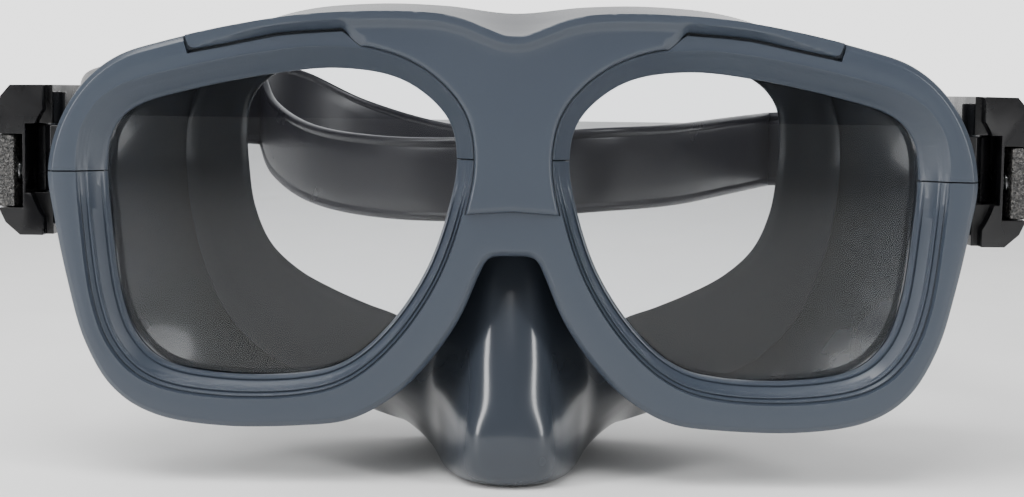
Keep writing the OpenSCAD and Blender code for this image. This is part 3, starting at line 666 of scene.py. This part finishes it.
def surface_normals(grid, ring_columns=True):
    """Unit normals of a grid surface: the cross product of the steps along and across it."""
    along = np.gradient(grid, axis=0)
    sideways = ((np.roll(grid, -1, 1) - np.roll(grid, 1, 1)) if ring_columns
                else np.gradient(grid, axis=1))
    n = np.cross(along, sideways)
    return n / np.maximum(np.linalg.norm(n, axis=2), 1e-9)[..., None]


def whole_ring(half):
    """A half line of points from the top middle to the bottom middle, closed by its mirror."""
    half = np.asarray(half, float)
    return np.vstack([half, half[-2:0:-1] * [-1, 1, 1]])


def skirt_body():
    """The skirt's wall as one closed sheet. Its outer side is a smooth surface through ten
    rings from the front edge to the face seal; the inner side lies a wall's thickness inside
    along the normals, and the rolled lip joins them."""
    steps = 10
    share = np.linspace(0, 1, steps)[:, None]
    front, seal = np.array(skirt_front), np.array(face_seal[:len(skirt_front)])
    rings = front[None] + (seal - front)[None] * share[..., None]
    middle = np.array([[0, 0, 50.0]])
    inward = (middle - rings) * [1, 0, 1]
    inward /= np.linalg.norm(inward, axis=2)[..., None]
    rings = rings + inward * (WAIST_IN * np.sin(np.pi * share) ** 1.2)[..., None]
    half = np.concatenate([rings, np.transpose(np.array(nose_lines), (1, 0, 2))], 1)
    lines = np.stack([smooth_line(whole_ring(ring), 8, True) for ring in half])
    outer = np.stack([smooth_line(lines[:, k], 7) for k in range(lines.shape[1])], 1)
    outer[..., 2] = np.maximum(outer[..., 2], 0)
    normals = surface_normals(outer)
    flip = np.sign(np.sum((outer - [0, 30, 45]) * normals, axis=2).mean())
    inside = outer - flip * normals * SKIRT_WALL
    lip = smooth_line(whole_ring(lip_edge), 8, True)
    seal_line = outer[-1]
    roll = []
    for t, back in ((0.06, 0.7), (0.16, 1.3), (0.34, 1.7), (0.55, 1.5), (0.75, 1.0), (0.9, 0.4),
                    (0.97, 0.1), (1.0, -0.35)):
        roll.append(seal_line + (lip - seal_line) * t + [0, back, 0])
    for t, back in ((1.0, -0.9), (0.97, -1.35), (0.88, -LIP_THICK - 0.1), (0.7, -1.9),
                    (0.5, -2.4), (0.3, -3.4)):
        roll.append(seal_line + (lip - seal_line) * t + [0, back, 0])
    blend_rows = inside[-6:-5] * 0.65 + roll[-1][None] * 0.35
    grid = np.concatenate([outer, np.array(roll), blend_rows, inside[-7::-1]])
    return piece_from("skirt_body", grid,
                      [grid_faces(*grid.shape[:2], ring_rows=True, ring_columns=True)],
                      silicone, "mask", sharp=50)


def skirt_web():
    """The front web between the collars: two flat faces and rounded edges, half of it worked
    out on the rim's columns and mirrored."""
    outer = outer_at + outer_in * WEB_INSET
    low, high = NOSE_TOP + WEB_INSET + 0.4, BROW_DIP - WEB_INSET - 0.4
    way_up = (outer_at[on_middle, 1] - MIDDLE_LOW) / (MIDDLE_HIGH - MIDDLE_LOW)
    outer[on_middle, 1] = low + way_up * (high - low)
    inner = opening_at + bevel_way * 3.4
    rows = []
    for share, depth in ((0, 9.9), (0.03, 9.8), (0.5, 9.8), (0.97, 9.8), (1, 10.0), (1, 11.8),
                         (0.97, 12.0), (0.7, 12.0), (0.4, 12.0), (0.15, 12.15), (0.05, 12.6),
                         (0, 13.2)):
        points = inner + (outer - inner) * share
        rows.append(np.column_stack([points[:, 0], np.full(len(points), depth), points[:, 1]]))
    grid = np.array(rows)
    faces = grid_faces(*grid.shape[:2], ring_rows=True, ring_columns=True)
    inside = (np.abs(grid[..., 0].ravel()[faces]) < 1e-9).all(1)
    return piece_from("skirt_web", grid, [faces[~inside]], silicone, "mask", twin=True)


def collar(name, flip):
    """A lens collar: a groove for the glass and a round-edged sleeve behind it, swept round the
    lens opening at distances measured outwards from it."""
    section = [(0.75, 4.85), (2.2, 4.85), (3.75, 4.9), (3.8, 5.2), (3.8, 11.0), (3.8, 16.0),
               (3.7, 16.6), (3.3, 17.0), (2.6, 17.15), (1.7, 17.1), (1.05, 16.8), (0.7, 16.3),
               (0.6, 15.6), (0.6, 12.0), (0.6, 9.2), (0.7, 8.95), (0.95, 8.82), (2.4, 8.81),
               (2.4, 5.59), (0.8, 5.58), (0.62, 5.45), (0.6, 5.1)]
    loop, normal = opening_fine[::4], bevel_out[::4]
    grid = np.array([np.column_stack([(loop + normal * out)[:, 0] * flip,
                                      np.full(len(loop), depth), (loop + normal * out)[:, 1]])
                     for out, depth in section])
    return piece_from(name, grid, [grid_faces(*grid.shape[:2], True, True)], silicone, "mask",
                      sharp=40)


silicone, nodes, links, shader = new_material("glossy_silicone")
links.new(spread(nodes, links, noise_at(nodes, links, 12.0, 3.0), (0.024, 0.029, 0.038),
                 (0.034, 0.041, 0.052)), shader.inputs["Base Color"])
links.new(spread(nodes, links, noise_at(nodes, links, 35.0, 4.0), 0.16, 0.28),
          shader.inputs["Roughness"])
shader.inputs["Specular IOR Level"].default_value = 0.38
shader.inputs["Coat Weight"].default_value = 0.2
shader.inputs["Coat Roughness"].default_value = 0.08
add_bump(nodes, links, shader, noise_at(nodes, links, 45.0, 2.0), 0.00012)

skirt_shell = skirt_body()
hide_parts("skirt")
for piece in (skirt_web(), collar("left_collar", -1), collar("right_collar", 1)):
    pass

# ---------- strap ----------
# The strap is moulded in dark silicone with a bead along both edges. It runs back from each
# buckle and splits into two bands behind the head.

SWIVEL_X, SWIVEL_Y, SWIVEL_Z = 84.8, 12.0, 58.0  # the buckle's pin: across, back, up
STRAP_T = 2.0
SIDE_X, SIDE_Y = 86.35, 44.2                     # where each side starts, in its buckle
STRAP_BACK = 184.0                               # how far back the rear band reaches

# middle lines: across, back, up
right_side = [
    (SIDE_X, SIDE_Y, 58), (SIDE_X + 2, SIDE_Y + 12, 58), (SIDE_X + 3.5, SIDE_Y + 32, 58),
    (SIDE_X - 1, STRAP_BACK - 84, 58), (SIDE_X - 8, STRAP_BACK - 58, 58),
    (73, STRAP_BACK - 40, 57.5), (66, STRAP_BACK - 33, 57)]
left_side = [
    (-SIDE_X, SIDE_Y, 58), (-SIDE_X - 3, SIDE_Y + 12, 60.5), (-SIDE_X - 5.5, SIDE_Y + 30, 65),
    (-SIDE_X - 2, STRAP_BACK - 86, 67), (-SIDE_X + 7, STRAP_BACK - 60, 66.5),
    (-72, STRAP_BACK - 42, 66.5), (-65, STRAP_BACK - 36, 66)]
near_band = [
    (-65, STRAP_BACK - 36, 66), (-60, STRAP_BACK - 48, 58.5), (-48, STRAP_BACK - 68, 53),
    (-30, STRAP_BACK - 86, 51), (-8, STRAP_BACK - 96, 51.3), (16, STRAP_BACK - 97, 53.5),
    (36, STRAP_BACK - 84, 54.5), (53, STRAP_BACK - 58, 56), (66, STRAP_BACK - 33, 57)]
rear_band = [
    (-65, STRAP_BACK - 36, 66), (-65, STRAP_BACK - 24, 68), (-56, STRAP_BACK - 12, 66),
    (-40, STRAP_BACK - 4, 58.5), (-18, STRAP_BACK - 1, 52.5), (8, STRAP_BACK, 50),
    (32, STRAP_BACK - 4, 50), (52, STRAP_BACK - 12, 52.5), (66, STRAP_BACK - 22, 56),
    (66, STRAP_BACK - 33, 57)]

# half the strap's section from its middle to its edge: up, and share of half its thickness
strap_half = [(0, 0.74), (4.0, 0.74), (6.9, 0.74), (7.15, 0.66), (7.35, 0.62), (7.6, 0.68),
              (7.85, 0.86), (8.15, 0.97), (8.5, 1.0), (8.9, 0.97), (9.2, 0.82), (9.4, 0.55),
              (9.5, 0.2), (9.5, 0)]


def strap_section():
    """The whole section as a closed ring: four mirror images of strap_half."""
    half = np.array(strap_half)
    quarter = half[:-1]
    right = np.vstack([quarter[::-1] * [-1, 1], quarter[1:]])
    edge = np.array([[9.5, 0.0]])
    return np.vstack([right, edge, right[::-1] * [1, -1], -edge])


def strap_band(name, line, thick, body, relief=None):
    """Carries the strap's section along a middle line. The section stands upright, square to the
    line's level direction; relief adds to the outer face by the distance along the line."""
    step = np.gradient(line, axis=0)
    level = np.linalg.norm(step[:, :2], axis=1)[:, None]
    side = np.column_stack([-step[:, 1:2] / level, step[:, 0:1] / level, np.zeros(len(line))])
    section = strap_section()
    out = np.tile(section[:, 1] * thick / 2, (len(line), 1))
    if relief is not None:
        flat = (section[:, 1] > 0.6) & (np.abs(section[:, 0]) < 7)
        out = out + relief[:, None] * flat[None]
    grid = (line[:, None] + side[:, None] * out[..., None]
            + np.array([0, 0, 1])[None, None] * section[None, :, :1])
    last = (len(line) - 1) * len(section)
    caps = [np.arange(len(section)), np.arange(last, last + len(section))]
    return piece_from(name, grid, [grid_faces(*grid.shape[:2], ring_columns=True)] + caps,
                      strap_silicone, body, sharp=89)


strap_silicone, nodes, links, shader = new_material("matt_strap_silicone")
links.new(spread(nodes, links, noise_at(nodes, links, 25.0, 3.0), (0.008, 0.008, 0.012),
                 (0.014, 0.014, 0.019)), shader.inputs["Base Color"])
links.new(spread(nodes, links, noise_at(nodes, links, 80.0, 5.0), 0.26, 0.40),
          shader.inputs["Roughness"])
add_bump(nodes, links, shader, noise_at(nodes, links, 60.0, 3.0, (1, 1, 0.1)), 0.00004)

for name, points, thick in (("near_strap_band", near_band, STRAP_T * 0.95),
                            ("rear_strap_band", rear_band, STRAP_T * 0.9)):
    strap_band(name, smooth_line(points, 10), thick, "mask")

for side, points in (("left", left_side), ("right", right_side)):
    line = smooth_line(points, 10)
    piece = strap_band(side + "_side_strap", line, STRAP_T, None)
    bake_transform(piece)
    if side == "left":
        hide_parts("strap")

# ---------- strap ends ----------
# Each end of the strap goes into its buckle, turns round the steel roller and comes out again
# as a toothed tail that the pawl locks.

ROLLER_X, ROLLER_Y, TURN_R, TAIL_Y = 4.1, 13.0, 2.55, 32.0
TOOTH_PITCH, TOOTH_UP = 2.0, 0.45
TAIL_ROWS, PASS_END = 70, 33.9                   # rows along the tail; the end of the inner pass


def strap_tail(side):
    """The end of a strap: a line out along the tail, half a turn round the roller and back along
    the inner pass. Teeth are a raised stretch in every pitch of the tail's outer face."""
    tail = np.column_stack([np.full(TAIL_ROWS, ROLLER_X + TURN_R),
                            np.linspace(TAIL_Y, ROLLER_Y, TAIL_ROWS)])
    angle = np.linspace(0, -math.pi, 17)[1:-1]
    turn = np.column_stack([ROLLER_X + TURN_R * np.cos(angle), ROLLER_Y + TURN_R * np.sin(angle)])
    inner = np.column_stack([np.full(12, ROLLER_X - TURN_R),
                             np.linspace(ROLLER_Y, PASS_END, 12)])
    plan = np.vstack([tail, turn, inner])
    flip = -1 if side == "left" else 1
    line = np.column_stack([flip * (SWIVEL_X + plan[:, 0]), SWIVEL_Y + plan[:, 1],
                            np.full(len(plan), SWIVEL_Z)])
    wave = (tail[:, 1] - ROLLER_Y) / TOOTH_PITCH % 1
    teeth = np.zeros(len(plan))
    toothed = tail[:, 1] < TAIL_Y - 1
    teeth[:TAIL_ROWS] = TOOTH_UP * smooth_step(np.abs(wave - 0.5), 0.4, 0.15) * toothed
    return strap_band(side + "_strap_tail", line, STRAP_T * 0.98, side + "_buckle", teeth)


for side in ("left", "right"):
    piece = strap_tail(side)
    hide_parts(side + "_strap_end")

# ---------- buckles ----------
# Each buckle is a black nylon housing on a steel pin, with a screwless cover over the pawl and a
# crackle-finished release button sprung in its front. Their edges are rounded in the mould.


CORNER_ANGLE = math.radians(35)                  # an edge sharper than this is rounded


def softened(node, name, width, material, body):
    """A copy of a frame piece with its triangles merged into flat faces and its edges rounded."""
    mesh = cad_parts[node].data.copy()
    mesh.name = name
    shell = bmesh.new()
    shell.from_mesh(mesh)
    bmesh.ops.remove_doubles(shell, verts=shell.verts, dist=1e-6)
    bmesh.ops.dissolve_limit(shell, angle_limit=math.radians(1), verts=shell.verts,
                             edges=shell.edges)
    shell.to_mesh(mesh)
    shell.free()
    mesh.materials.clear()
    mesh.materials.append(material)
    mesh.shade_smooth()
    mesh.set_sharp_from_angle(angle=CORNER_ANGLE)
    piece = bpy.data.objects.new(name, mesh)
    bpy.context.scene.collection.objects.link(piece)
    rounding = piece.modifiers.new("rounding", "BEVEL")
    rounding.width = width * MM
    rounding.segments = 3
    rounding.limit_method = "ANGLE"
    rounding.angle_limit = CORNER_ANGLE
    rounding.harden_normals = True
    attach(piece, body)
    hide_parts(node)
    return piece


black_nylon, nodes, links, shader = new_material("black_nylon")
links.new(spread(nodes, links, noise_at(nodes, links, 40.0, 3.0), (0.0025, 0.0025, 0.003),
                 (0.005, 0.005, 0.006)), shader.inputs["Base Color"])
links.new(spread(nodes, links, noise_at(nodes, links, 120.0, 5.0), 0.20, 0.36),
          shader.inputs["Roughness"])
add_bump(nodes, links, shader, noise_at(nodes, links, 160.0, 3.0), 0.00004)

crackle, nodes, links, shader = new_material("crackle_nylon")
place = nodes.new("ShaderNodeTexCoord")
cells = nodes.new("ShaderNodeTexVoronoi")
cells.feature = "DISTANCE_TO_EDGE"
cells.inputs["Scale"].default_value = 1600.0
links.new(place.outputs["Object"], cells.inputs["Vector"])
links.new(spread(nodes, links, noise_at(nodes, links, 2200.0, 4.0), (0.012, 0.012, 0.012),
                 (0.10, 0.095, 0.09), 0.45, 0.66), shader.inputs["Base Color"])
links.new(spread(nodes, links, noise_at(nodes, links, 900.0, 3.0), 0.15, 0.45),
          shader.inputs["Roughness"])
add_bump(nodes, links, shader, cells.outputs["Distance"], 0.0005)
add_bump(nodes, links, shader, noise_at(nodes, links, 2600.0, 4.0), 0.0003)

for side in ("left", "right"):
    softened(side + "_buckle_housing", side + "_buckle_shell", 0.5, black_nylon,
             side + "_buckle")
    softened(side + "_buckle_cover", side + "_buckle_lid", 0.6, black_nylon,
             side + "_buckle")
    softened(side + "_release_button", side + "_push_button", 0.45, crackle,
             side + "_button")
    softened(side + "_buckle_bracket", side + "_bracket", 0.2, black_nylon,
             "mask")

# ---------- pins, rollers, springs and pawls ----------
# The pins and rollers are ground stainless rod, the springs are coiled wire, and the pawls are
# blackened steel. All but the springs are the frame's own solids.

steel, nodes, links, shader = new_material("ground_stainless")
links.new(spread(nodes, links, noise_at(nodes, links, 300.0, 3.0), (0.50, 0.51, 0.52),
                 (0.62, 0.63, 0.64)), shader.inputs["Base Color"])
links.new(spread(nodes, links, noise_at(nodes, links, 1200.0, 4.0, (1, 1, 0.05)), 0.22, 0.38),
          shader.inputs["Roughness"])
shader.inputs["Metallic"].default_value = 1.0
add_bump(nodes, links, shader, noise_at(nodes, links, 2500.0, 2.0, (1, 1, 0.05)), 0.000004)

blackened, nodes, links, shader = new_material("blackened_steel")
links.new(spread(nodes, links, noise_at(nodes, links, 300.0, 3.0), (0.010, 0.010, 0.011),
                 (0.020, 0.020, 0.021)), shader.inputs["Base Color"])
links.new(spread(nodes, links, noise_at(nodes, links, 900.0, 4.0), 0.34, 0.50),
          shader.inputs["Roughness"])
add_bump(nodes, links, shader, noise_at(nodes, links, 1800.0, 2.0), 0.000006)

# from the swivel, in mm: the coil's first and last turn across, its middle, and its wire
COIL_START, COIL_END, COIL_Y, COIL_Z = 4.15, 7.25, -1.0, -2.3
COIL_R, WIRE_R, COIL_TURNS, TRAVEL = 1.8, 0.3, 4, 0.7


def coil_spring(side):
    """A round wire along a helix. At the angle a the wire's middle is a's share of the length
    across and COIL_R out; a point of the wire is WIRE_R * (cos b, sin b) out and across."""
    flip = -1 if side == "left" else 1
    a = np.linspace(0, 2 * math.pi * COIL_TURNS, COIL_TURNS * 28 + 1)[:, None]
    b = np.linspace(0, 2 * math.pi, 10, endpoint=False)[None]
    out = COIL_R + WIRE_R * np.cos(b)
    across = COIL_START + (COIL_END - COIL_START) * a / a.max() + WIRE_R * np.sin(b)
    grid = np.stack([flip * (SWIVEL_X + across), SWIVEL_Y + COIL_Y + out * np.cos(a),
                     SWIVEL_Z + COIL_Z + out * np.sin(a)], -1)
    last = (len(a) - 1) * b.size
    caps = [np.arange(b.size), np.arange(last, last + b.size)]
    return piece_from(side + "_coil_spring", grid,
                      [grid_faces(*grid.shape[:2], ring_columns=True)] + caps, steel,
                      side + "_buckle", sharp=60)


for side, flip in (("left", -1), ("right", 1)):
    for part, metal in (("swivel_pin", steel), ("pawl_pin", steel), ("strap_roller", steel),
                        ("lock_pawl", blackened)):
        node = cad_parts[side + "_" + part]
        node.data.materials.clear()
        node.data.materials.append(metal)
    spring = coil_spring(side)
    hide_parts(side + "_button_spring")
    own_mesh(spring)
